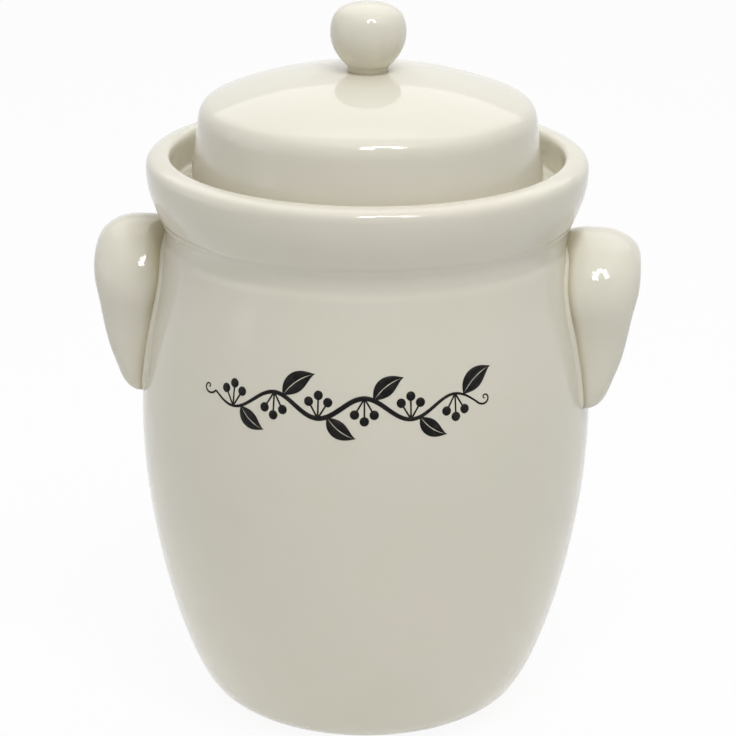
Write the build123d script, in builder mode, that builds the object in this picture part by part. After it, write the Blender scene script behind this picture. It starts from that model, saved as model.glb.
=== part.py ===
"""Rumtopf: a five litre stoneware preserving pot with a water-sealed lid.

The pot stands on its foot ring at the origin, +Z up, with its two ears on +X and -X.
Its decorated front faces -Y. All sizes are in millimetres and all angles in degrees.
"""
from build123d import *
from math import cos, radians, sin, sqrt
import os

# Mouth, neck and water channel
mouth_radius = 60.0
neck_wall = 6.5
neck_rise = 24.0
neck_foot_curve = 3.0
channel_width = 19.5
channel_depth = 16.2
channel_floor_thickness = 7.0
channel_floor_rise = 13.0

# Jar, outside
foot_inset = 8.2
foot_ring_width = 8.0
foot_recess = 2.5
base_curve_radius = 24.1
base_curve_angle = 52.0
belly_height = 127.6
belly_swell = 8.8
shoulder_rise = 97.4
# How far out and up the wall is between the base curve and the belly
lower_wall_shares = ((0.41, 0.21), (0.70, 0.465), (0.925, 0.76))
# How far in and up the wall is between the belly and the shoulder
upper_wall_shares = ((0.125, 0.33), (0.50, 0.55), (0.92, 0.85))

# Jar, inside
wall = 7.0
floor_thickness = 8.0
floor_corner_radius = 8.0
throat_radius = 8.0

# Collar, the outer wall of the channel
collar_seat = 5.2
collar_overhang = 5.8
collar_bulge_drop = 7.4
collar_lip_width = 2.3
collar_lip_drop = 4.5
collar_hem_step = 1.4
# How far out and down the lip's round top is between its crest and the bulge
collar_top_shares = ((0.62, 0.20), (0.91, 0.52))
# How far in and down the collar's face is between its bulge and its hem
collar_face_shares = ((0.55, 0.68),)

# Lid
lid_headroom = 28.6
dome_radius = 192.9
lid_taper = 4.2
lid_corner_curve = 9.5
lid_wall = 6.0
lid_soffit_curve = 5.0
lid_rim_gap = 8.2
lid_rim_curve = 1.5
vent_width = 8.0
vent_height = 3.8

# Knob, with its heights above the top of the dome
knob_radius = 16.6
knob_height = 30.0
knob_neck_radius = 9.7
knob_neck_height = 1.4
knob_root_flare = 1.7
knob_bulge_height = 15.9
# How far out and up the bulb is between its neck and its bulge
knob_lower_shares = ((0.60, 0.38), (0.90, 0.70))
# How far in and up the bulb is between its bulge and its top
knob_upper_shares = ((0.17, 0.73), (0.45, 0.925))

# Ears
ear_half_width = 29.0
ear_strap = 10.0
ear_crown_flat = 3.0
ear_crown_rise = 1.5
ear_top_drop = 6.0
ear_length = 72.5
ear_stand = 21.0
ear_corner_length = 12.5
ear_corner_drop = 11.5
ear_tip_curve = 4.5
# How much of the strap's thickness each of its rounded edges takes
ear_edge_share = 0.35
# How far in and down the ear's outer slope is between its corner and its tip
ear_slope_shares = ((0.124, 0.164), (0.357, 0.566), (0.643, 0.869))
luting_thickness = 1.6
luting_width = 3.5

# Weighting stones
stone_clearance = 2.5
stone_thickness = 14.0
stone_gap = 3.0
stone_notch_radius = 9.0
stone_edge_radius = 2.5

# How far a cut runs past what it cuts
overrun = 5.0

# Radii that follow from the mouth outwards
neck_radius = mouth_radius + neck_wall
channel_radius = neck_radius + channel_width
shoulder_radius = channel_radius + collar_seat
belly_radius = shoulder_radius + belly_swell
foot_radius = mouth_radius - foot_inset

# Heights that follow from the foot upwards
inner_floor_height = foot_recess + floor_thickness
shoulder_height = belly_height + shoulder_rise
channel_floor_height = shoulder_height + channel_floor_rise
collar_height = channel_floor_height + channel_depth
neck_height = channel_floor_height + neck_rise
lid_height = neck_height + lid_headroom
dome_centre_height = lid_height - dome_radius

# Where the base curve ends and the wall begins
base_turn = radians(base_curve_angle)
base_end_radius = foot_radius + base_curve_radius * sin(base_turn)
base_end_height = base_curve_radius * (1 - cos(base_turn))
base_tangent = (cos(base_turn), sin(base_turn))


def wall_points(grow):
    """Points up the jar's wall from the end of its base curve, moved outwards by grow."""
    points = [(base_end_radius + grow, base_end_height)]
    for out_share, up_share in lower_wall_shares:
        radius = base_end_radius + out_share * (belly_radius - base_end_radius)
        height = base_end_height + up_share * (belly_height - base_end_height)
        points.append((radius + grow, height))
    points.append((belly_radius + grow, belly_height))
    for in_share, up_share in upper_wall_shares:
        radius = belly_radius - in_share * (belly_radius - shoulder_radius)
        height = belly_height + up_share * (shoulder_height - belly_height)
        points.append((radius + grow, height))
    points.append((shoulder_radius + grow, shoulder_height))
    return points


def corner(section, radius, height):
    """The corner of an upright section that lies nearest to a radius and a height."""
    return section.vertices().sort_by_distance((radius, height, 0))[0]


# Jar: one thrown wall with its foot ring, floor, shoulder, channel floor and neck
neck_round = neck_wall / 2
throat_top = (mouth_radius, channel_floor_height - channel_floor_thickness)
throat_bottom = (shoulder_radius - wall, shoulder_height - channel_floor_thickness)
inner_floor_radius = base_end_radius - wall / sin(base_turn)
inner_points = [point for point in wall_points(-wall)[1:-1] if point[1] < throat_bottom[1] - throat_radius]

with BuildPart() as crock_body:
    with BuildSketch(Plane.XZ) as jar_section:
        with BuildLine():
            foot = Polyline(
                (0, foot_recess),
                (foot_radius - foot_ring_width - foot_recess, foot_recess),
                (foot_radius - foot_ring_width, 0),
                (foot_radius, 0),
            )
            base = JernArc(foot @ 1, (1, 0), base_curve_radius, base_curve_angle)
            outside = Spline(*wall_points(0), tangents=(base_tangent, (0, 1)))
            seat = Polyline(
                outside @ 1,
                (channel_radius, shoulder_height),
                (channel_radius, channel_floor_height),
                (neck_radius, channel_floor_height),
                (neck_radius, neck_height - neck_round),
            )
            neck_top = (neck_radius - neck_round, neck_height)
            rim = ThreePointArc(seat @ 1, neck_top, (mouth_radius, neck_height - neck_round))
            Polyline(rim @ 1, throat_top, throat_bottom)
            inner_floor_edge = (inner_floor_radius, inner_floor_height)
            Spline(inner_floor_edge, *inner_points, throat_bottom, tangents=(base_tangent, (0, 1)))
            Polyline(inner_floor_edge, (0, inner_floor_height), foot @ 0)
        make_face()
        fillet(corner(jar_section, neck_radius, channel_floor_height), radius=neck_foot_curve)
        fillet(corner(jar_section, *throat_top), radius=throat_radius)
        fillet(corner(jar_section, *throat_bottom), radius=throat_radius)
        fillet(corner(jar_section, *inner_floor_edge), radius=floor_corner_radius)
    revolve(axis=Axis.Z)
crock_body.part.label = "crock_body"


# Collar: a ring luted round the shoulder, with a rolled lip and a soft hem
collar_radius = shoulder_radius + collar_overhang
collar_bulge_height = collar_height - collar_bulge_drop
collar_lip_radius = channel_radius + collar_lip_width
collar_hem_radius = shoulder_radius + collar_hem_step

with BuildPart() as channel_collar:
    with BuildSketch(Plane.XZ):
        with BuildLine():
            bore = Line((channel_radius, shoulder_height), (channel_radius, collar_height - collar_lip_drop))
            crest = (collar_lip_radius, collar_height)
            Spline(bore @ 1, crest, tangents=((0, 1), (1, 0)))
            top_points = []
            for out_share, down_share in collar_top_shares:
                top_points.append((
                    collar_lip_radius + out_share * (collar_radius - collar_lip_radius),
                    collar_height - down_share * collar_bulge_drop,
                ))
            bulge = (collar_radius, collar_bulge_height)
            Spline(crest, *top_points, bulge, tangents=((1, 0), (0, -1)))
            face_points = []
            for in_share, down_share in collar_face_shares:
                face_points.append((
                    collar_radius - in_share * (collar_radius - collar_hem_radius),
                    collar_bulge_height - down_share * (collar_bulge_height - shoulder_height),
                ))
            hem = (collar_hem_radius, shoulder_height)
            Spline(bulge, *face_points, hem, tangents=((0, -1), (-1, -1)))
            Line(hem, bore @ 0)
        make_face()
    revolve(axis=Axis.Z)
channel_collar.part.label = "channel_collar"


# Ears: an arched strap cut to its side outline, on a thin luting pad against the jar
ear_reach = belly_radius + ear_stand
ear_top_reach = ear_reach - ear_corner_length
ear_top_height = shoulder_height - ear_top_drop
ear_tip_height = ear_top_height - ear_length
ear_corner_height = ear_top_height - ear_corner_drop
ear_root = mouth_radius
bottom_middle = (Align.CENTER, Align.MIN)


def arch_band(grow, reach, tip_curve):
    """The ear's arch as a band from its root out to reach, grown outwards by grow."""
    half_width = ear_half_width + grow
    low = ear_tip_height - grow
    height = ear_length + ear_crown_rise + 2 * grow
    hollow_half_width = ear_half_width - ear_strap
    hollow_height = ear_length + ear_crown_rise - ear_strap + grow
    base_plane = Plane(origin=(ear_root, 0, low), x_dir=(0, 1, 0), z_dir=(1, 0, 0))
    with BuildPart() as band:
        with BuildSketch(base_plane) as outer:
            Rectangle(2 * half_width, height, align=bottom_middle)
            fillet(outer.vertices().group_by(Axis.Y)[-1], radius=half_width - ear_crown_flat)
            fillet(outer.vertices().group_by(Axis.Y)[0], radius=tip_curve)
        extrude(amount=reach - ear_root)
        with BuildSketch(base_plane) as hollow:
            Rectangle(2 * hollow_half_width, hollow_height, align=bottom_middle)
            fillet(hollow.vertices().group_by(Axis.Y)[-1], radius=hollow_half_width - ear_crown_flat)
        extrude(amount=reach - ear_root, mode=Mode.SUBTRACT)
    return band.part


def jar_envelope(grow):
    """The space inside the jar's wall, solid to its axis, moved outwards by grow."""
    with BuildPart() as envelope:
        with BuildSketch(Plane.XZ):
            with BuildLine():
                side = Spline(*wall_points(grow), tangents=(base_tangent, (0, 1)))
                Polyline(side @ 1, (0, shoulder_height), (0, base_end_height), side @ 0)
            make_face()
        revolve(axis=Axis.Z)
    return envelope.part


with BuildPart() as ear_arch:
    add(arch_band(0, ear_reach + overrun, ear_tip_curve))
    with BuildSketch(Plane.XZ):
        with BuildLine():
            top = Line((ear_root, ear_top_height), (ear_top_reach, ear_top_height))
            nose = Spline(top @ 1, (ear_reach, ear_corner_height), tangents=((1, 0), (0, -1)))
            slope_points = []
            for in_share, down_share in ear_slope_shares:
                slope_points.append((
                    ear_reach - in_share * ear_stand,
                    ear_corner_height - down_share * (ear_corner_height - ear_tip_height),
                ))
            tip = (belly_radius, ear_tip_height)
            Spline(nose @ 1, *slope_points, tip, tangents=((0, -1), (-1, 0)))
            Polyline(tip, (ear_root, ear_tip_height), top @ 0)
        make_face()
    extrude(amount=ear_half_width + overrun, both=True, mode=Mode.INTERSECT)
    side_edges = ear_arch.edges().filter_by(Axis.X, reverse=True).filter_by(Axis.Y, reverse=True)
    rim_edges = side_edges.filter_by(lambda edge: edge.center().X > ear_root)
    fillet(rim_edges, radius=ear_edge_share * ear_strap)

with BuildPart() as luting_pad:
    add(arch_band(luting_width, ear_reach, ear_tip_curve + luting_width))
    add(jar_envelope(luting_thickness), mode=Mode.INTERSECT)

with BuildPart() as right_handle:
    add(ear_arch.part)
    add(luting_pad.part)
    add(jar_envelope(0), mode=Mode.SUBTRACT)
right_handle.part.label = "right_handle"

with BuildPart() as left_handle:
    mirror(right_handle.part, about=Plane.YZ)
left_handle.part.label = "left_handle"


# Lid: a domed cap whose skirt stands in the water channel
def dome_edge(radius_at_edge, sphere_radius):
    """The point of a dome round the lid's centre at a radius from the axis."""
    return (radius_at_edge, dome_centre_height + sqrt(sphere_radius**2 - radius_at_edge**2))


lid_rim_radius = channel_radius - lid_rim_gap
lid_corner_radius = lid_rim_radius - lid_taper
lid_corner = dome_edge(lid_corner_radius, dome_radius)
soffit_corner = dome_edge(lid_corner_radius - lid_wall, dome_radius - lid_wall)

with BuildPart() as lid_shell:
    with BuildSketch(Plane.XZ) as lid_section:
        with BuildLine():
            apex = (0, lid_height)
            soffit = (0, lid_height - lid_wall)
            RadiusArc(apex, lid_corner, dome_radius)
            Polyline(
                lid_corner,
                (lid_rim_radius, channel_floor_height),
                (lid_rim_radius - lid_wall, channel_floor_height),
                soffit_corner,
            )
            RadiusArc(soffit, soffit_corner, dome_radius - lid_wall)
            Line(soffit, apex)
        make_face()
        fillet(lid_section.vertices().group_by(Axis.Y)[0], radius=lid_rim_curve)
        fillet(corner(lid_section, *lid_corner), radius=lid_corner_curve)
        fillet(corner(lid_section, *soffit_corner), radius=lid_soffit_curve)
    revolve(axis=Axis.Z)
    with BuildSketch(Plane.XZ):
        with Locations((0, channel_floor_height)):
            Ellipse(vent_width / 2, vent_height)
    extrude(amount=lid_rim_radius + overrun, both=True, mode=Mode.SUBTRACT)
lid_shell.part.label = "lid_shell"


# Knob: a turned bulb luted to the top of the dome
knob_root = dome_edge(knob_neck_radius + knob_root_flare, dome_radius)
knob_neck = (knob_neck_radius, lid_height + knob_neck_height)

with BuildPart() as lid_knob:
    with BuildSketch(Plane.XZ):
        with BuildLine():
            knob_top = (0, lid_height + knob_height)
            knob_bulge = (knob_radius, lid_height + knob_bulge_height)
            lower_points = []
            for out_share, up_share in knob_lower_shares:
                lower_points.append((
                    knob_neck_radius + out_share * (knob_radius - knob_neck_radius),
                    lid_height + knob_neck_height + up_share * (knob_bulge_height - knob_neck_height),
                ))
            upper_points = []
            for in_share, up_share in knob_upper_shares:
                upper_points.append((
                    knob_radius - in_share * knob_radius,
                    lid_height + knob_bulge_height + up_share * (knob_height - knob_bulge_height),
                ))
            Spline(knob_root, knob_neck, tangents=((-1, 1), (0, 1)))
            Spline(knob_neck, *lower_points, knob_bulge, tangents=((0, 1), (0, 1)))
            Spline(knob_bulge, *upper_points, knob_top, tangents=((0, 1), (-1, 0)))
            Line(knob_top, apex)
            RadiusArc(apex, knob_root, dome_radius)
        make_face()
    revolve(axis=Axis.Z)
lid_knob.part.label = "lid_knob"


# Weighting stones: two half discs that lie side by side on the jar's floor
with BuildPart() as weight_stone_right:
    with BuildSketch(Plane.XY.offset(inner_floor_height)):
        Circle(mouth_radius - stone_clearance)
        split(bisect_by=Plane.YZ.offset(stone_gap / 2), keep=Keep.TOP)
        Circle(stone_notch_radius, mode=Mode.SUBTRACT)
    extrude(amount=stone_thickness)
    flat_faces = weight_stone_right.faces().filter_by(Axis.Z)
    fillet(flat_faces.edges(), radius=stone_edge_radius)
weight_stone_right.part.label = "weight_stone_right"

with BuildPart() as weight_stone_left:
    mirror(weight_stone_right.part, about=Plane.YZ)
weight_stone_left.part.label = "weight_stone_left"


os.makedirs("parts", exist_ok=True)
pieces = (
    crock_body,
    channel_collar,
    right_handle,
    left_handle,
    lid_shell,
    lid_knob,
    weight_stone_right,
    weight_stone_left,
)
for piece in pieces:
    export_step(piece.part, f"parts/{piece.part.label}.step")
    print(piece.part.label, "volume", round(piece.part.volume), "cubic mm")
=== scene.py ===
# %% [markdown]
# # A stoneware rumtopf pot
# The pot is pottery from foot to knob: a thrown jar, a collar luted round its shoulder to hold a
# moat of water, two pulled ears, a domed lid with a knob, and two half-round stones inside that
# keep the fruit under the liquor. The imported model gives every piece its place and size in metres.
# This lesson dresses it: each piece is thrown again as a finely curved mesh inside the same box,
# then glazed, lit and photographed.

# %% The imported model
import bpy
import bmesh
from math import atan2, cos, hypot, pi, radians, sin, sqrt
from mathutils import Matrix, Vector
from mathutils.geometry import interpolate_bezier


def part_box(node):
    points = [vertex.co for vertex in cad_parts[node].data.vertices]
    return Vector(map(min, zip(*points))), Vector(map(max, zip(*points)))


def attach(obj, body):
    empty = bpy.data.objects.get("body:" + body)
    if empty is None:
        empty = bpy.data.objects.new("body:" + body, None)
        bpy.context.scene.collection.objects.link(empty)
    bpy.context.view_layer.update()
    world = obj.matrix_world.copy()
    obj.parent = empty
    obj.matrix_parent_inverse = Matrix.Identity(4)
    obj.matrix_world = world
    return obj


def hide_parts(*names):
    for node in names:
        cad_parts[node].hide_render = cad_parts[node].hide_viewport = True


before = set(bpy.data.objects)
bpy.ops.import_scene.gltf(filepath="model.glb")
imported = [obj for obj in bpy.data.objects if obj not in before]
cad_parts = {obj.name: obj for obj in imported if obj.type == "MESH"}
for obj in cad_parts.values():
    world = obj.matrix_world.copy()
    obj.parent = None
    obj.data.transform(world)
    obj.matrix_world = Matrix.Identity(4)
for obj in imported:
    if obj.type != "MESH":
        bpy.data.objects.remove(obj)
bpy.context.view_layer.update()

# %% [markdown]
# ## Where things are
# Nothing is measured twice. The heights and radii that the pieces share are read from the boxes of
# the model's own nodes, so the glaze always sits on the same pot. `box_top`, `box_foot` and
# `box_radius` are three short ways of asking.

# %% Reading sizes from the model
def box_top(node):
    """The height of a node's highest point."""
    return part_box(node)[1][2]


def box_foot(node):
    """The height of a node's lowest point."""
    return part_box(node)[0][2]


def box_radius(node):
    """How far a node reaches from the pot's axis along +X."""
    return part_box(node)[1][0]


hem_height = box_foot("channel_collar")
lip_height = box_top("channel_collar")
collar_radius = box_radius("channel_collar")
belly_radius = box_radius("crock_body")
neck_height = box_top("crock_body")
channel_floor = box_foot("lid_shell")
dome_height = box_top("lid_shell")
knob_height = box_top("lid_knob")
stone_height = box_foot("weight_stone_right")
print("hem", round(hem_height, 4), "lip", round(lip_height, 4), "dome", round(dome_height, 4))

# %% [markdown]
# ## Drawing an outline
# A thrown pot is round, so each piece is one outline turned about the axis. A maker draws that
# outline with few points, so an outline here is a short list of knots: radius, height, the heading
# of the curve there in degrees (0 is outwards, 90 is up) and how far its handles reach before and
# after the knot. `interpolate_bezier` fills in the smooth curve between two knots. A knot with two
# headings is a corner.

# %% Knots to a smooth outline
def outline(knots, steps=14):
    """The points of a curve through knots of (radius, height, heading, reach before, reach after)."""
    points = []
    for start, end in zip(knots, knots[1:]):
        start_place = Vector((start[0], start[1]))
        end_place = Vector((end[0], end[1]))
        leave = radians(start[2][-1] if isinstance(start[2], tuple) else start[2])
        arrive = radians(end[2][0] if isinstance(end[2], tuple) else end[2])
        start_handle = start_place + start[4] * Vector((cos(leave), sin(leave)))
        end_handle = end_place - end[3] * Vector((cos(arrive), sin(arrive)))
        curve = interpolate_bezier(start_place, start_handle, end_handle, end_place, steps + 1)
        points.extend(curve[1:] if points else curve)
    return [(point.x, point.y) for point in points]


quarter = outline([(1, 0, 90, 0, 0.55), (0, 1, 180, 0.55, 0)])
print("Two knots of a quarter circle give", len(quarter), "points")

# %% [markdown]
# ## Turning an outline on the wheel
# `turned_bmesh` spins an outline about the pot's axis into rings of faces, as a potter's wheel
# would. It builds the mesh with bmesh: one circle of vertices for each outline point, quads between
# the circles, and a single vertex where the outline meets the axis. A Spin operator or a Screw
# modifier gives the same shape; plain code keeps the seam welded and the rings numbered.

# %% The wheel
wheel_segments = 192
on_axis = 1e-6


def mesh_object(name, bm):
    """A smooth-shaded object made from a bmesh, with its faces turned outwards."""
    bmesh.ops.recalc_face_normals(bm, faces=bm.faces)
    for face in bm.faces:
        face.smooth = True
    mesh = bpy.data.meshes.new(name)
    bm.to_mesh(mesh)
    bm.free()
    piece = bpy.data.objects.new(name, mesh)
    bpy.context.collection.objects.link(piece)
    print(name, "has", len(mesh.polygons), "faces")
    return piece


def turned_bmesh(points, closed=False, segments=wheel_segments):
    """A bmesh of an outline of (radius, height) points spun about the axis."""
    bm = bmesh.new()
    rings = []
    for radius, height in points:
        if radius < on_axis:
            rings.append([bm.verts.new((0, 0, height))])
            continue
        ring = []
        for segment in range(segments):
            angle = 2 * pi * segment / segments
            ring.append(bm.verts.new((radius * cos(angle), radius * sin(angle), height)))
        rings.append(ring)
    if closed:
        rings.append(rings[0])
    for low, high in zip(rings, rings[1:]):
        for segment in range(segments):
            follow = (segment + 1) % segments
            if len(low) == 1:
                bm.faces.new((low[0], high[follow], high[segment]))
            elif len(high) == 1:
                bm.faces.new((low[segment], low[follow], high[0]))
            else:
                bm.faces.new((low[segment], low[follow], high[follow], high[segment]))
    return bm


print("The wheel turns in", wheel_segments, "steps")

# %% [markdown]
# ## The jar
# The jar is one thrown wall: a foot ring to stand on, a belly, a shoulder, then the floor of the
# water channel and the neck that stands inside it. The outline runs from under the foot, up the
# outside, over the neck and down the inside to the floor, so the jar is a true hollow vessel and
# looks right with its lid off. The last stretch under the collar is hidden but keeps it closed.

# %% The jar's outline
foot_radius = 0.0518
foot_recess = 0.0025
belly_height = 0.136
shoulder_radius = 0.0905
wall_thickness = 0.007
floor_height = stone_height
channel_radius = 0.086
neck_outside = 0.0665
neck_inside = 0.060

outside = outline([
    (foot_radius, 0.0, 0, 0, 0.0074),
    (0.0708, 0.0093, 52, 0.0074, 0.0205),
    (belly_radius, belly_height, 90, 0.0514, 0.0330),
    (0.0904, 0.2122, 99, 0.0230, 0.0026),
    (0.0891, 0.2180, 90, 0.0026, 0.0028),
    (shoulder_radius, hem_height, 64, 0.0026, 0),
], steps=24)
seat_and_neck = outline([
    (shoulder_radius, hem_height, (90, 180), 0, 0.001),
    (channel_radius, hem_height, (180, 90), 0.001, 0.004),
    (channel_radius, channel_floor, (90, 180), 0.004, 0.004),
    (neck_outside + 0.003, channel_floor, 180, 0.004, 0.0017),
    (neck_outside, channel_floor + 0.003, 90, 0.0017, 0.005),
    (neck_outside, neck_height - 0.00325, 90, 0.005, 0.0018),
    (neck_outside - 0.00325, neck_height, 180, 0.0018, 0.0018),
    (neck_inside, neck_height - 0.00325, 270, 0.0018, 0.006),
    (neck_inside, 0.2355, 270, 0.006, 0.0028),
    (0.0643, 0.2287, 330, 0.0028, 0.004),
    (0.0800, 0.2204, 332, 0.004, 0.0028),
    (0.0842, 0.2136, 270, 0.0028, 0.0330),
    (belly_radius - wall_thickness, belly_height, 270, 0.0330, 0.0514),
    (0.0643, 0.0136, 232, 0.0190, 0.0022),
    (0.0580, floor_height, 180, 0.0026, 0.0100),
    (0.0, floor_height, 180, 0.0100, 0),
], steps=8)
under_foot = outline([
    (0.0, foot_recess, 0, 0, 0.01),
    (0.0400, foot_recess, 0, 0.01, 0.0010),
    (0.0442, 0.0003, 320, 0.0016, 0.0004),
    (0.0452, 0.0, 0, 0.0004, 0.001),
    (foot_radius, 0.0, 0, 0.001, 0),
], steps=5)
jar_points = under_foot + outside[1:] + seat_and_neck[1:]
jar = mesh_object("jar", turned_bmesh(jar_points))
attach(jar, "crock")
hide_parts("crock_body")


def wall_radius(height):
    """The radius of the jar's outside at a height."""
    for (low_radius, low), (high_radius, high) in zip(outside, outside[1:]):
        if low <= height <= high:
            share = (height - low) / max(high - low, 1e-9)
            return low_radius + share * (high_radius - low_radius)
    return outside[-1][0]


print("The belly's radius is", round(wall_radius(belly_height), 4), "m")

# %% [markdown]
# ## The collar
# The collar is a second thrown ring, luted round the shoulder while both are leather hard. Its lip
# is rolled over, its face leans in towards its hem, and the potter wipes the seam with a wet sponge,
# so its face runs on into the hollow of the shoulder. The section is a closed loop of knots, and its
# inner edge runs out in a small fillet on the channel's floor.

# %% The collar's section
collar_section = outline([
    (0.0890, hem_height - 0.0008, 30, 0, 0.0006),
    (shoulder_radius, hem_height, 64, 0.0006, 0.0010),
    (0.0912, hem_height + 0.0020, 56, 0.0008, 0.0010),
    (0.0924, hem_height + 0.0042, 69, 0.0012, 0.0070),
    (collar_radius, lip_height - 0.0058, 90, 0.0080, 0.0042),
    (0.0885, lip_height, 180, 0.0060, 0.0018),
    (channel_radius, lip_height - 0.0045, 270, 0.0022, 0.0030),
    (channel_radius, channel_floor + 0.0030, 270, 0.0030, 0.0017),
    (channel_radius - 0.0030, channel_floor + 0.0001, 180, 0.0017, 0.0005),
    (channel_radius - 0.0040, channel_floor - 0.0020, 300, 0.0005, 0.0010),
    (0.0880, hem_height + 0.0010, 300, 0.0010, 0.0006),
    (0.0890, hem_height - 0.0008, 340, 0.0004, 0),
])
collar = mesh_object("collar", turned_bmesh(collar_section[:-1], closed=True))
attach(collar, "crock")
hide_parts("channel_collar")

# %% [markdown]
# ## The lid
# The lid is a thrown cap. Its dome and skirt are one outline, hollow underneath, and its rim stands
# on the channel's floor, where water seals it. Two small notches are cut in the rim at the front
# and back, so that gas can bubble out. They could be cut with a Boolean, but lifting the rim's
# vertices keeps the wheel's clean rings, so `lift_notch` squeezes the lowest few millimetres up.

# %% The lid's outline and its notches
lid_rim_radius = 0.0778
lid_wall = 0.006
lid_points = outline([
    (0.0, dome_height, 0, 0, 0.0240),
    (0.0676, 0.2781, 337, 0.0235, 0.0052),
    (0.0743, 0.2680, 275, 0.0056, 0.0080),
    (lid_rim_radius, channel_floor + 0.0015, 274, 0.0100, 0.0009),
    (lid_rim_radius - 0.0015, channel_floor, 180, 0.0008, 0.0008),
    (lid_rim_radius - lid_wall + 0.0015, channel_floor, 180, 0.0010, 0.0008),
    (lid_rim_radius - lid_wall, channel_floor + 0.0015, 90, 0.0008, 0.0080),
    (0.0690, 0.2655, 96, 0.0080, 0.0030),
    (0.0643, 0.2722, 160, 0.0030, 0.0200),
    (0.0, dome_height - lid_wall, 180, 0.0230, 0),
], steps=16)
notch_half_width = 0.004
notch_height = 0.0038
notch_reach = 0.012


def lift_notch(bm):
    """Two arched notches, front and back, where the rim's lowest stretch is squeezed up."""
    for vertex in bm.verts:
        across = abs(vertex.co.x) / notch_half_width
        above = vertex.co.z - channel_floor
        if across < 1 and above < notch_reach and abs(vertex.co.y) > lid_rim_radius - 2 * lid_wall:
            lift = notch_height * sqrt(1 - across ** 2)
            vertex.co.z = channel_floor + lift + above * (notch_reach - lift) / notch_reach


lid_bmesh = turned_bmesh(lid_points, segments=2 * wheel_segments)
lift_notch(lid_bmesh)
lid = mesh_object("lid", lid_bmesh)
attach(lid, "lid")
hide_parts("lid_shell")

# %% [markdown]
# ## The knob
# The knob is a small bulb, thrown off the hump and luted to the dome. It narrows to a short stem
# and its foot is cut under a little, so a fine dark line of shade shows there, deepened by the lid
# glaze's painted corner shade.

# %% The knob's outline
knob_radius = box_radius("lid_knob")
knob_points = outline([
    (0.0086, dome_height - 0.0008, 40, 0, 0.0004),
    (0.0090, dome_height + 0.0007, 90, 0.0006, 0.0007),
    (0.0094, dome_height + 0.0025, 42, 0.0006, 0.0056),
    (knob_radius, dome_height + 0.0168, 90, 0.0056, 0.0082),
    (0.0, knob_height, 180, 0.0130, 0),
], steps=20)
knob = mesh_object("knob", turned_bmesh(knob_points))
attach(knob, "lid")
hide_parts("lid_knob")

# %% [markdown]
# ## The ears
# Each ear is a strap of clay pulled by hand and bent into an arch, with its two legs pressed on to
# the wall over a thin pad of slip. Seen from the front it is broad at its crown and runs to a
# finger tip below. It is built as a loft: `arch` is the middle line of the strap on the wall, and
# at each station along it a rounded section reaches out from the wall. How far it reaches comes
# from `ear_outline`, the ear's side view. A plain sweep would keep one section all the way, and
# these sections shrink towards the tips.

# %% The arch and the side view of an ear
ear_reach = box_radius("right_handle")
ear_foot = 0.1465
crown_middle = 0.2127
arch = outline([
    (-0.0215, ear_foot, 92, 0, 0.0150),
    (-0.0240, 0.1900, 90, 0.0150, 0.0133),
    (0.0, crown_middle, 0, 0.0130, 0.0130),
    (0.0240, 0.1900, 270, 0.0133, 0.0150),
    (0.0215, ear_foot, 268, 0.0150, 0),
], steps=40)
ear_outline = outline([
    (0.1000, ear_foot, 0, 0, 0.0070),
    (0.1119, 0.1630, 68, 0.0085, 0.0065),
    (0.1171, 0.1850, 80, 0.0075, 0.0085),
    (ear_reach, 0.2105, 90, 0.0110, 0.0030),
    (ear_reach - 0.0005, 0.2190, 97, 0.0030, 0),
])


def ear_reach_at(height):
    """How far the ear reaches from the pot's axis at a height."""
    for (low_reach, low), (high_reach, high) in zip(ear_outline, ear_outline[1:]):
        if low <= height <= high:
            share = (height - low) / max(high - low, 1e-9)
            return low_reach + share * (high_reach - low_reach)
    return ear_outline[-1][0]


print("Half way up, the ear reaches", round(ear_reach_at((ear_foot + crown_middle) / 2), 4), "m")

# %% [markdown]
# ### Stations along the arch
# Near the tips the form closes quickly, so stations stand closer together there. `stations` walks
# along a line of points and stops at chosen distances, and gives each stop's place and the
# direction that points away from the arch's hollow.

# %% Walking along the arch
def line_length(points):
    """The length of a line through points."""
    return sum(hypot(b[0] - a[0], b[1] - a[1]) for a, b in zip(points, points[1:]))


def place_along(points, distance):
    """The place at a distance along a line, and the unit normal on its left."""
    for a, b in zip(points, points[1:]):
        step = hypot(b[0] - a[0], b[1] - a[1])
        if distance <= step or (a, b) == (points[-2], points[-1]):
            share = distance / step
            place = (a[0] + share * (b[0] - a[0]), a[1] + share * (b[1] - a[1]))
            return place, (-(b[1] - a[1]) / step, (b[0] - a[0]) / step)
        distance -= step


def stations(points, count, crowding):
    """Distances along a line, crowded towards both ends."""
    length = line_length(points)
    distances = []
    for index in range(count + 1):
        share = index / count
        crowded = 0.5 - 0.5 * cos(pi * share)
        distances.append(length * (crowding * crowded + (1 - crowding) * share))
    return distances


print("The arch is", round(line_length(arch), 4), "m long")

# %% [markdown]
# ### Lofting the sections
# A section lies in the plane across the strap. Its points are (reach, side): reach is the height
# above the wall, and side is how far out of the arch it lies. Close to the wall each vertex follows
# the wall itself, so that the strap's root hugs the jar. Further out it follows the middle line, so
# that the ear keeps its side view. `swell` thins the whole section, `bulge` lifts the crest of its
# outer side, and `root` is how far out that side meets the wall. Every section starts a little
# inside the wall, so no gap shows.

# %% Sections and the loft
hug_reach = 0.010
strap_sunk, pad_sunk = 0.0015, 0.0010
crest_along, crest_side = 0.42, 0.0050
edge_side = -0.0034
inner_along, inner_side, inner_root = 0.86, -0.0056, -0.0044
leg_root = 0.0026
root_heading, heading_per_metre = 24, 9000
pad_top_share = 0.80


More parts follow.
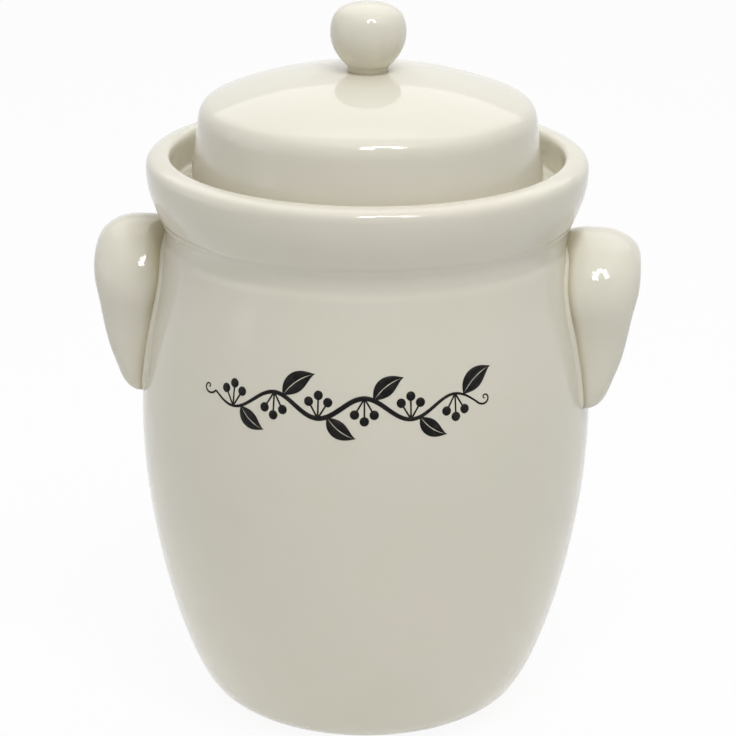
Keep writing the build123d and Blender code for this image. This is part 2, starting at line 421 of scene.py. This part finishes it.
def ear_vertex(place, normal, reach, side, hand, stance):
    """One vertex of an ear, on the right for hand 1 or on the left for hand -1."""
    stretch, lift = stance
    y = place[0] + side * normal[0]
    z = ear_foot + (place[1] + side * normal[1] - ear_foot) * stretch + lift
    near_wall = sqrt(wall_radius(z) ** 2 - y ** 2)
    middle_wall = sqrt(wall_radius(place[1]) ** 2 - place[0] ** 2)
    share = min(max(reach / hug_reach, 0), 1)
    share = share * share * (3 - 2 * share)
    x = near_wall + share * (middle_wall - near_wall) + reach
    return (hand * x, y, z)


def strap_section(reach, swell, bulge, root):
    """The strap's section: a convex outer side, a round outer edge and a flatter inner side."""
    heading = root_heading + heading_per_metre * (leg_root + bulge - root)
    return outline([
        (-strap_sunk, root * swell, heading, 0, 0.20 * reach + strap_sunk),
        (crest_along * reach, (crest_side + bulge) * swell, 0, 0.22 * reach, 0.34 * reach),
        (reach, edge_side * swell, 270, 0.0056 * swell, 0.0014 * swell),
        (inner_along * reach, inner_side * swell, 180, 0.08 * reach, 0.20 * reach),
        (-strap_sunk, inner_root * swell, 180, 0.20 * reach + strap_sunk, 0),
    ], steps=9)


def pad_section(rise, half_width):
    """The section of the slip pad: a low rounded pillow on the wall."""
    return outline([
        (-pad_sunk, half_width, 10, 0, 0.0006),
        (rise, pad_top_share * half_width, 290, 0.0009, 0.0008),
        (rise, -pad_top_share * half_width, 270, 0.0060, 0.0006),
        (-pad_sunk, -half_width, 180, 0.0008, 0),
    ], steps=6)


def loft(bm, line, section_at, hand, stance, count=110, crowding=0.72):
    """Adds a strap lofted along a line, through the section that section_at gives at each station."""
    rings = []
    for distance in stations(line, count, crowding):
        place, normal = place_along(line, distance)
        ring = []
        for reach, side in section_at(distance, place):
            ring.append(bm.verts.new(ear_vertex(place, normal, reach, side, hand, stance)))
        rings.append(ring)
    for ring, after in zip(rings, rings[1:]):
        for index in range(len(ring)):
            follow = (index + 1) % len(ring)
            bm.faces.new((ring[index], ring[follow], after[follow], after[index]))
    bm.faces.new(rings[0])
    bm.faces.new(rings[-1])


print("A strap's section has", len(strap_section(0.02, 1, 0, leg_root)), "points")

# %% [markdown]
# ### Two ears
# The strap's section comes from the ear's side view at each height, and thins where the reach runs
# out, which rounds the tips. Higher up it swells and leaves a crease beside the wall, and at its
# crown it meets the wall in its full thickness. The slip pad starts just below the tips and shows as
# a thin bead beside the legs. Hand work is never quite alike: `hand_made` gives each ear its node,
# its side, the share of the reach it is pulled out to, and its stretch and lift.

# %% Pulling the ears
full_reach, least_reach = 0.012, 0.0004
pad_half_width = 0.0070
pad_rise = 0.0014
pad_drop = 0.0004
pad_line = [(arch[0][0], ear_foot - pad_drop)] + arch + [(arch[-1][0], ear_foot - pad_drop)]
pad_length = line_length(pad_line)
tip_round, least_draw_squared = 0.006, 0.003
crown_bulge = 0.0036
leg_pinch, crown_root = 0.0020, 0.0062
fuller_from, fuller_to = 0.176, 0.200
fade_from, fade_to = 0.2040, 0.2127
hand_made = {
    "ear_right": ("right_handle", 1, 1.0, (1.0, 0.0)),
    "ear_left": ("left_handle", -1, 0.955, (0.98, 0.0024)),
}


def eased(value, low, high):
    """0 below low, 1 above high and a smooth step between."""
    share = min(max((value - low) / (high - low), 0), 1)
    return share * share * (3 - 2 * share)


def strap_at(pull):
    """A function for the strap's section at a distance along the arch, pulled out by a share."""
    def section(distance, place):
        middle_wall = sqrt(wall_radius(place[1]) ** 2 - place[0] ** 2)
        reach = max(pull * (ear_reach_at(place[1]) - middle_wall), least_reach)
        swell = min(1.0, sqrt(reach / full_reach))
        full = eased(place[1], fuller_from, fuller_to)
        root = leg_root - leg_pinch * full + crown_root * eased(place[1], fade_from, fade_to)
        return strap_section(reach, swell, crown_bulge * full, root)
    return section


def pad_at(distance, place):
    """The pad's section at a distance along its line, drawn in to a round end."""
    from_end = min(distance, pad_length - distance)
    share = min(from_end / tip_round, 1.0)
    draw = sqrt(max(1 - (1 - share) ** 2, least_draw_squared))
    return pad_section(pad_rise * draw, pad_half_width * draw)


for name, (node, hand, pull, stance) in hand_made.items():
    ear_bmesh = bmesh.new()
    loft(ear_bmesh, arch, strap_at(pull), hand, stance)
    loft(ear_bmesh, pad_line, pad_at, hand, stance, count=120)
    ear = mesh_object(name, ear_bmesh)
    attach(ear, "crock")
    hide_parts(node)

# %% [markdown]
# ## The brushed vine
# The front carries a sprig painted in black under the glaze: a waving stem with leaves, berries and
# tendrils, a motif that folk potters everywhere use. Each stroke is like a brush stroke, a middle
# line with a width that swells and thins. `stroke` lays it on the wall as a thin closed ribbon that
# stands a tenth of a millimetre proud. A painted mask in the glaze would need an image; ribbons
# keep crisp edges at any size.

# %% Brush strokes on the wall
vine_height = 0.1690
vine_turn = radians(-2.0)
stroke_proud = 0.00010
stroke_depth = 0.00040
hair_half_width = 0.00004


def on_wall(across, up, proud):
    """A place on the jar's front: across and up from the middle of the vine, in metres."""
    height = vine_height + up
    radius = wall_radius(height)
    angle = across / belly_radius + vine_turn
    return ((radius + proud) * sin(angle), -(radius + proud) * cos(angle), height)


def stroke(bm, middle, half_widths):
    """Adds a ribbon along a middle line with a half width at each of its points."""
    rings = []
    for index, (across, up) in enumerate(middle):
        before = middle[max(index - 1, 0)]
        after = middle[min(index + 1, len(middle) - 1)]
        length = max(hypot(after[0] - before[0], after[1] - before[1]), 1e-9)
        side = (-(after[1] - before[1]) / length, (after[0] - before[0]) / length)
        half = max(half_widths[index], hair_half_width)
        ring = []
        for sign, proud in ((1, stroke_proud), (-1, stroke_proud), (-1, -stroke_depth), (1, -stroke_depth)):
            edge = (across + sign * half * side[0], up + sign * half * side[1])
            ring.append(bm.verts.new(on_wall(*edge, proud)))
        rings.append(ring)
    for ring, after in zip(rings, rings[1:]):
        for index in range(4):
            follow = (index + 1) % 4
            bm.faces.new((ring[index], ring[follow], after[follow], after[index]))
    bm.faces.new(rings[0])
    bm.faces.new(rings[-1])


print("The vine's middle is at", [round(value, 4) for value in on_wall(0, 0, 0)], "m")

# %% [markdown]
# ### Leaves, berries and tendrils
# A leaf is a bent stroke that swells to its belly and ends in a point, with a thin gap along its
# midrib, so it takes two strokes. A berry is a short stroke as wide as it is long. A tendril is a
# spiral that thins as it winds in.

# %% The shapes of the sprig
half_midrib = 0.00020
belly_shift, blade_point = 0.85, 1.2
tendril_half_width, tendril_thinning = 0.00042, 0.6
tendril_turn, tendril_pace = 520, 2.6


def bent_line(start, heading, length, bend, steps=18):
    """A line from a start that turns evenly by bend degrees over its length."""
    points = [start]
    for index in range(steps):
        angle = radians(heading + bend * (index + 0.5) / steps)
        last = points[-1]
        points.append((last[0] + length / steps * cos(angle), last[1] + length / steps * sin(angle)))
    return points


def add_leaf(bm, start, heading, length, half_width, bend):
    """A leaf of two half blades with a hairline between them."""
    rib = bent_line(start, heading, length, bend)
    last = len(rib) - 1
    for sign in (1, -1):
        middle = []
        widths = []
        for index, (across, up) in enumerate(rib):
            share = index / last
            blade = half_width * sin(pi * share ** belly_shift) ** blade_point
            angle = radians(heading + bend * share)
            offset = sign * (blade / 2 + half_midrib * sin(pi * share))
            middle.append((across - offset * sin(angle), up + offset * cos(angle)))
            widths.append(blade / 2)
        stroke(bm, middle, widths)


def add_berry(bm, centre, radius, steps=14):
    """A round berry."""
    middle = []
    widths = []
    for index in range(steps + 1):
        angle = pi * index / steps
        middle.append((centre[0] - radius * cos(angle), centre[1]))
        widths.append(radius * sin(angle))
    stroke(bm, middle, widths)


def add_tendril(bm, start, heading, size, hand, steps=40):
    """A spiral that winds in from a start, to the left for hand 1 and to the right for hand -1."""
    middle = [start]
    widths = [tendril_half_width]
    for index in range(steps):
        share = index / steps
        angle = radians(heading + hand * tendril_turn * share ** 1.3)
        step = size * (1 - share) ** 1.1 / steps * tendril_pace
        last = middle[-1]
        middle.append((last[0] + step * cos(angle), last[1] + step * sin(angle)))
        widths.append(tendril_half_width * (1 - tendril_thinning * share))
    stroke(bm, middle, widths)


print("A leaf's rib has", len(bent_line((0, 0), 0, 1, 0)), "points")

# %% [markdown]
# ### Painting the sprig
# The stem waves across the front. Each crest carries a leaf above and a cluster of berries hangs
# below it; each trough is the same, turned over. The leaves differ a little in size, as brush work
# does, and a tendril curls away at either end.

# %% The vine
vine_half_length = 0.060
wave_length = 0.040
wave_height = 0.0046
stem_half_width, stalk_half_width = 0.00105, 0.00036
stem_steps, stem_tip_share = 160, 0.35
leaf_length = 0.0165
leaf_half_width = 0.0037
leaf_size_shares = (1.0, 0.9, 1.08, 0.95)
leaf_offset, leaf_heading, leaf_curl = 0.0040, 58, -44
berry_radius = 0.0020
berry_offsets = ((-0.0042, 0.0070), (0.0, 0.0098), (0.0042, 0.0070))
tendril_size = 0.0100
tendril_headings = {1: -42, -1: 222}


def stem_place(across):
    """The stem's place at a distance from its middle."""
    return (across, wave_height * sin(2 * pi * across / wave_length))


def add_cluster(bm, base, side):
    """Three berries on hair stalks, above the stem for side 1 and below it for side -1."""
    for spread, rise in berry_offsets:
        tip = (base[0] + spread, base[1] + side * rise)
        heading = atan2(tip[1] - base[1], tip[0] - base[0]) * 180 / pi
        stalk = bent_line(base, heading, hypot(spread, rise), 0, steps=6)
        stroke(bm, stalk, [stalk_half_width] * len(stalk))
        add_berry(bm, tip, berry_radius)


vine_bmesh = bmesh.new()
stem = []
stem_widths = []
for index in range(stem_steps + 1):
    share = index / stem_steps
    stem.append(stem_place(vine_half_length * (2 * share - 1)))
    stem_widths.append(stem_half_width * (stem_tip_share + (1 - stem_tip_share) * sin(pi * share)))
stroke(vine_bmesh, stem, stem_widths)
for index in range(-3, 3):
    bend = (index + 0.5) * wave_length / 2
    side = -1 if index % 2 else 1
    size = leaf_size_shares[index % len(leaf_size_shares)]
    heading, curl = side * leaf_heading, side * leaf_curl
    add_cluster(vine_bmesh, stem_place(bend), -side)
    start = stem_place(bend + leaf_offset)
    add_leaf(vine_bmesh, start, heading, size * leaf_length, size * leaf_half_width, curl)
for hand, heading in tendril_headings.items():
    add_tendril(vine_bmesh, stem_place(hand * vine_half_length), heading, tendril_size, hand)
vine = mesh_object("painted_vine", vine_bmesh)
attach(vine, "crock")

# %% [markdown]
# ## Cream glaze
# The glaze is a glossy, slightly yellow white over a buff stoneware. On a real pot it is never one
# colour: it drifts a little towards pink or green where it lay thicker or thinner. Its corners are
# painted darker and browner as shade. Below a chosen height it is wiped off and the bare clay shows,
# as under every foot and lid rim. Five small tools come first, each for a node that every finish here
# needs.

# %% A small kit for materials
def new_material(name):
    """A material with a plain Principled shader, and its nodes and links."""
    material = bpy.data.materials.new(name)
    material.use_nodes = True
    return material, material.node_tree.nodes, material.node_tree.links


def noise(nodes, links, place, scale, detail=2.0, roughness=0.5):
    """A noise texture in object space."""
    texture = nodes.new("ShaderNodeTexNoise")
    texture.inputs["Scale"].default_value = scale
    texture.inputs["Detail"].default_value = detail
    texture.inputs["Roughness"].default_value = roughness
    links.new(place, texture.inputs["Vector"])
    return texture.outputs["Fac"]


def ranged(nodes, links, value, low, high, out_low, out_high):
    """A value mapped from one range to another and clamped to it."""
    node = nodes.new("ShaderNodeMapRange")
    node.inputs["From Min"].default_value = low
    node.inputs["From Max"].default_value = high
    node.inputs["To Min"].default_value = out_low
    node.inputs["To Max"].default_value = out_high
    links.new(value, node.inputs["Value"])
    return node.outputs["Result"]


def mixed(nodes, links, factor, first, second):
    """A colour mixed from two colours or sockets by a factor."""
    node = nodes.new("ShaderNodeMix")
    node.data_type = "RGBA"
    links.new(factor, node.inputs["Factor"])
    for socket, value in ((node.inputs["A"], first), (node.inputs["B"], second)):
        if isinstance(value, tuple):
            socket.default_value = (*value, 1.0)
        else:
            links.new(value, socket)
    return node.outputs["Result"]


def bumped(nodes, links, height, distance, strength, under=None):
    """A bump, on top of another where one is given."""
    node = nodes.new("ShaderNodeBump")
    node.inputs["Distance"].default_value = distance
    node.inputs["Strength"].default_value = strength
    links.new(height, node.inputs["Height"])
    if under:
        links.new(under, node.inputs["Normal"])
    return node.outputs["Normal"]


# %% [markdown]
# ### Mixing the glaze
# Broad noise makes the drift, Ambient Occlusion finds the corners for the painted shade, and two bumps
# of different sizes give the surface its slow waves and its fine skin. A painted texture could do the
# same, but it would need an image, and noise in object space has no seam. Scales of noise are in waves a
# metre.

# %% The glaze
glaze_cream = (0.755, 0.725, 0.614)
glaze_rose = (0.762, 0.718, 0.614)
glaze_green = (0.738, 0.724, 0.600)
# The darker, browner colour that corners are painted towards, as shade.
painted_shade_colour = (0.540, 0.480, 0.320)
bare_clay = (0.560, 0.440, 0.310)
grain_shade = 0.82
glaze_roughness, clay_roughness = 0.05, 0.8
glaze_index = 1.5
drift_scale, second_drift_scale, grain_scale = 14, 31, 900
wave_scale, skin_scale = 45, 420
wiped_edge = 0.0005


def glaze_material(name, bare_below, shade_reach):
    """Cream glaze over stoneware, wiped off below a height, with painted shade in corners of some reach."""
    material, nodes, links = new_material(name)
    shader = nodes["Principled BSDF"]
    place = nodes.new("ShaderNodeTexCoord").outputs["Object"]
    drift = noise(nodes, links, place, drift_scale, detail=1.5)
    second_drift = noise(nodes, links, place, second_drift_scale, detail=2.5)
    rosy = ranged(nodes, links, drift, 0.45, 0.70, 0, 1)
    greenish = ranged(nodes, links, second_drift, 0.50, 0.75, 0, 0.8)
    colour = mixed(nodes, links, rosy, glaze_cream, glaze_rose)
    colour = mixed(nodes, links, greenish, colour, glaze_green)
    # Ambient Occlusion paints the corners darker and browner: a painted shade.
    corner = nodes.new("ShaderNodeAmbientOcclusion")
    corner.samples = 6
    corner.inputs["Distance"].default_value = shade_reach
    painted_shade_mask = ranged(nodes, links, corner.outputs["AO"], 0.30, 0.85, 1, 0)
    colour = mixed(nodes, links, painted_shade_mask, colour, painted_shade_colour)
    height = nodes.new("ShaderNodeSeparateXYZ")
    links.new(place, height.inputs["Vector"])
    grain = noise(nodes, links, place, grain_scale, detail=4)
    bare = ranged(nodes, links, height.outputs["Z"], bare_below, bare_below + wiped_edge, 1, 0)
    clay = mixed(nodes, links, grain, bare_clay, tuple(grain_shade * channel for channel in bare_clay))
    colour = mixed(nodes, links, bare, colour, clay)
    links.new(colour, shader.inputs["Base Color"])
    gloss = ranged(nodes, links, second_drift, 0.3, 0.7, glaze_roughness - 0.015, glaze_roughness + 0.02)
    rough = nodes.new("ShaderNodeMix")
    links.new(bare, rough.inputs["Factor"])
    links.new(gloss, rough.inputs["A"])
    rough.inputs["B"].default_value = clay_roughness
    links.new(rough.outputs["Result"], shader.inputs["Roughness"])
    waves = noise(nodes, links, place, wave_scale, detail=1)
    skin = noise(nodes, links, place, skin_scale, detail=2)
    slow = bumped(nodes, links, waves, distance=0.0012, strength=0.05)
    fine = bumped(nodes, links, skin, distance=0.00008, strength=0.25, under=slow)
    links.new(fine, shader.inputs["Normal"])
    shader.inputs["IOR"].default_value = glaze_index
    return material


# %% [markdown]
# ### Glazing the pieces
# The jar and its collar share one glaze and the lid and its knob another, as each is dipped whole
# and wiped at its own foot. Each ear has a glaze of its own, whose painted shade in corners reaches
# further out, on the left ear most.

# %% Dipping and wiping
foot_wiped_to = 0.0010
rim_wiped_to = channel_floor + 0.0012
jar_glaze = glaze_material("jar_glaze", foot_wiped_to, shade_reach=0.004)
lid_glaze = glaze_material("lid_glaze", rim_wiped_to, shade_reach=0.004)
# Painted corner shade reaches 8 mm on the right ear and 26 mm on the left.
ear_glazes = {
    "ear_right": glaze_material("right_ear_glaze", foot_wiped_to, shade_reach=0.008),
    "ear_left": glaze_material("left_ear_glaze", foot_wiped_to, shade_reach=0.026),
}
for piece in (jar, collar):
    piece.data.materials.append(jar_glaze)
for name, ear_glaze in ear_glazes.items():
    bpy.data.objects[name].data.materials.append(ear_glaze)
for piece in (lid, knob):
    piece.data.materials.append(lid_glaze)
print("Glazed", jar.name, lid.name, "and their parts")

# %% [markdown]
# ## Black underglaze
# The brushed colour is an iron and manganese black. It burns out much drier than the glaze beside
# it, so it mirrors little and stays dark, and it is a little brown where the brush ran thin.

# %% The vine's black
brushed_thick, brushed_thin = (0.006, 0.0055, 0.0055), (0.028, 0.024, 0.021)
underglaze_mirror = 0.12
underglaze, nodes, links = new_material("black_underglaze")
shader = nodes["Principled BSDF"]
place = nodes.new("ShaderNodeTexCoord").outputs["Object"]
load_of_brush = noise(nodes, links, place, scale=260, detail=3)
thin = ranged(nodes, links, load_of_brush, 0.45, 0.8, 0, 1)
brushed = mixed(nodes, links, thin, brushed_thick, brushed_thin)
links.new(brushed, shader.inputs["Base Color"])
links.new(ranged(nodes, links, load_of_brush, 0.3, 0.7, 0.32, 0.48), shader.inputs["Roughness"])
shader.inputs["Specular IOR Level"].default_value = underglaze_mirror
vine.data.materials.append(underglaze)
print("Painted", vine.name)

# %% [markdown]
# ## Bare stoneware
# The weighting stones stay unglazed, so that they do not taint the fruit. Their clay is a warm buff
# with fine dark grog in it, dry to the touch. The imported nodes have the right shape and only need
# this finish.

# %% The stones' clay
clay_light, clay_dark, grog_brown = (0.560, 0.470, 0.350), (0.460, 0.375, 0.270), (0.230, 0.165, 0.115)
stone_roughness = 0.85
stoneware, nodes, links = new_material("bare_stoneware")
shader = nodes["Principled BSDF"]
place = nodes.new("ShaderNodeTexCoord").outputs["Object"]
body = noise(nodes, links, place, scale=120, detail=5)
grog = nodes.new("ShaderNodeTexVoronoi")
grog.inputs["Scale"].default_value = 700
links.new(place, grog.inputs["Vector"])
speck = ranged(nodes, links, grog.outputs["Distance"], 0.10, 0.22, 1, 0)
clay = mixed(nodes, links, body, clay_light, clay_dark)
links.new(mixed(nodes, links, speck, clay, grog_brown), shader.inputs["Base Color"])
shader.inputs["Roughness"].default_value = stone_roughness
links.new(bumped(nodes, links, body, distance=0.0005, strength=0.4), shader.inputs["Normal"])
for node in ("weight_stone_right", "weight_stone_left"):
    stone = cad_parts[node]
    stone.data.materials.clear()
    stone.data.materials.append(stoneware)
    print(stone.name, "is bare clay")

# %% [markdown]
# ## The studio
# The pot stands on a wide white floor under soft boxes. The floor glows a little where the camera
# looks at it, so that it comes out white, and keeps enough plain paint to show the pot's shadow.

# %% The floor
floor_half = 6.0
glow_share = 0.93
pale_out_to, grey_from = 0.28, 0.80
paper_bright, paper_dim, paper_far = (0.95, 0.95, 0.95), (0.92, 0.92, 0.92), (0.45, 0.45, 0.45)
paper_roughness = 0.7
floor_bmesh = bmesh.new()
bmesh.ops.create_grid(floor_bmesh, x_segments=12, y_segments=12, size=floor_half)
floor = mesh_object("floor", floor_bmesh)


def seen_rays(nodes, links):
    """1 for a camera, glossy or transmission ray, and 0 for the rays that only carry light."""
    rays = nodes.new("ShaderNodeLightPath")
    seen = rays.outputs["Is Camera Ray"]
    for kind in ("Is Glossy Ray", "Is Transmission Ray"):
        either = nodes.new("ShaderNodeMath")
        either.operation = "MAXIMUM"
        links.new(seen, either.inputs[0])
        links.new(rays.outputs[kind], either.inputs[1])
        seen = either.outputs[0]
    return seen


# %% [markdown]
# ### White paper
# Close to the pot the paper is white for every ray. Further out it turns grey for the rays that only
# carry light, so a wide floor does not throw too much light back on the pot, and stays white to look
# at.

# %% The floor's paper
paper, nodes, links = new_material("white_paper")
shader = nodes["Principled BSDF"]
shader.inputs["Roughness"].default_value = paper_roughness
place = nodes.new("ShaderNodeTexCoord").outputs["Object"]
fibre = noise(nodes, links, place, scale=30, detail=4)
paper_white = mixed(nodes, links, fibre, paper_dim, paper_bright)
distance = nodes.new("ShaderNodeVectorMath")
distance.operation = "LENGTH"
links.new(place, distance.inputs[0])
far = ranged(nodes, links, distance.outputs["Value"], pale_out_to, grey_from, 0, 1)
paper_grey = mixed(nodes, links, far, paper_white, paper_far)
seen = seen_rays(nodes, links)
links.new(mixed(nodes, links, seen, paper_grey, paper_white), shader.inputs["Base Color"])
glow = nodes.new("ShaderNodeEmission")
glow.inputs["Color"].default_value = (1, 1, 1, 1)
glow.inputs["Strength"].default_value = 1.0
blend = nodes.new("ShaderNodeMixShader")
links.new(ranged(nodes, links, seen, 0, 1, 0, glow_share), blend.inputs["Fac"])
links.new(shader.outputs["BSDF"], blend.inputs[1])
links.new(glow.outputs["Emission"], blend.inputs[2])
links.new(blend.outputs["Shader"], nodes["Material Output"].inputs["Surface"])
floor.data.materials.append(paper)
print("The floor is", 2 * floor_half, "m wide")

# %% [markdown]
# ## The room
# The world is a dim white room for the light it gives, and full white where a ray looks at it.

# %% The white room
room_light = 0.315
world = bpy.data.worlds.new("white_room")
bpy.context.scene.world = world
world.use_nodes = True
nodes, links = world.node_tree.nodes, world.node_tree.links
room = ranged(nodes, links, seen_rays(nodes, links), 0, 1, room_light, 1.0)
links.new(room, nodes["Background"].inputs["Strength"])
nodes["Background"].inputs["Color"].default_value = (1, 1, 1, 1)
print("The room gives", room_light)

# %% [markdown]
# ## Lamps
# A wide box overhead, a smaller one in front of it and others at the sides and behind fill the room.
# Each lamp is placed by the direction it shines from, seen from the pot, and its power is worked
# out from its radiance, so that a lamp can change its size and stay as bright to look at.

# %% Soft boxes
aim = Vector((0, 0, 0.16))


def soft_box(name, azimuth, elevation, distance, width, height, radiance):
    """A rectangular lamp of an even radiance that faces the pot. Azimuth 0 is in front of it."""
    turn, tilt = radians(azimuth), radians(elevation)
    direction = Vector((sin(turn) * cos(tilt), -cos(turn) * cos(tilt), sin(tilt)))
    light = bpy.data.lights.new(name, "AREA")
    light.shape = "RECTANGLE"
    light.size, light.size_y = width, height
    light.energy = radiance * pi * width * height
    lamp = bpy.data.objects.new(name, light)
    lamp.location = aim + distance * direction
    lamp.rotation_euler = direction.to_track_quat("Z", "Y").to_euler()
    bpy.context.collection.objects.link(lamp)
    print(name, "gives", round(light.energy, 1), "W")


soft_box("overhead_box", azimuth=0, elevation=88, distance=1.7, width=2.2, height=2.2, radiance=0.46)
soft_box("top_box", azimuth=17, elevation=72, distance=1.5, width=0.9, height=0.9, radiance=0.40)
soft_box("right_box", azimuth=75, elevation=50, distance=2.0, width=1.8, height=1.6, radiance=0.34)
soft_box("left_box", azimuth=-80, elevation=14, distance=2.0, width=1.8, height=1.0, radiance=0.60)
soft_box("back_box", azimuth=180, elevation=50, distance=2.0, width=3.0, height=1.6, radiance=0.62)

# %% [markdown]
# ## The key
# The key is an umbrella high to the right of the camera, with its stand dark before it, so its
# reflection in the knob, the lid's shoulder, the lip and the ears is a small bright arch. A lamp
# with a texture could give it, and five boxes set on a little more than half a circle are plainer.

# %% The key umbrella
key_azimuth = 17.0
key_elevation = 55.0
key_distance = 1.5
umbrella_radius = 8.5
patch_count, first_patch, patch_step = 5, -20, 55
patch_size = 0.175
patch_radiance = 17.0
for index in range(patch_count):
    around = radians(first_patch + patch_step * index)
    azimuth = key_azimuth + umbrella_radius * cos(around) / cos(radians(key_elevation))
    elevation = key_elevation + umbrella_radius * sin(around)
    soft_box(f"key_patch_{index}", azimuth, elevation, key_distance, patch_size, patch_size, patch_radiance)

# %% [markdown]
# ## The camera
# A long lens looks down on the pot by nearly nineteen degrees from a little right of its front. The
# pot leans by less than half a degree in the picture, because the camera was not quite level, so
# the camera is rolled by as much.

# %% The camera
camera_elevation = 18.8
camera_azimuth = 4.0
camera_distance = 1.4
camera_roll = 0.41
camera_aim = Vector((0.0009, 0, 0.154))
lens, sensor_width = 152.8, 36

camera_data = bpy.data.cameras.new("camera")
camera_data.lens = lens
camera_data.sensor_width = sensor_width
camera_data.sensor_fit = "HORIZONTAL"
camera = bpy.data.objects.new("camera", camera_data)
bpy.context.collection.objects.link(camera)
turn, tilt = radians(camera_azimuth), radians(camera_elevation)
back = Vector((sin(turn) * cos(tilt), -cos(turn) * cos(tilt), sin(tilt)))
camera.location = camera_aim + camera_distance * back
level = back.to_track_quat("Z", "Y").to_matrix()
camera.rotation_euler = (level @ Matrix.Rotation(radians(camera_roll), 3, "Z")).to_euler()
bpy.context.scene.camera = camera
bpy.context.scene.view_settings.view_transform = "Standard"
print("The camera stands at", [round(value, 3) for value in camera.location], "m")

# %% [markdown]
# ## The last update
# The view layer is updated once more. The dressed pot must not outgrow the model.

# %% The last update
bpy.context.view_layer.update()
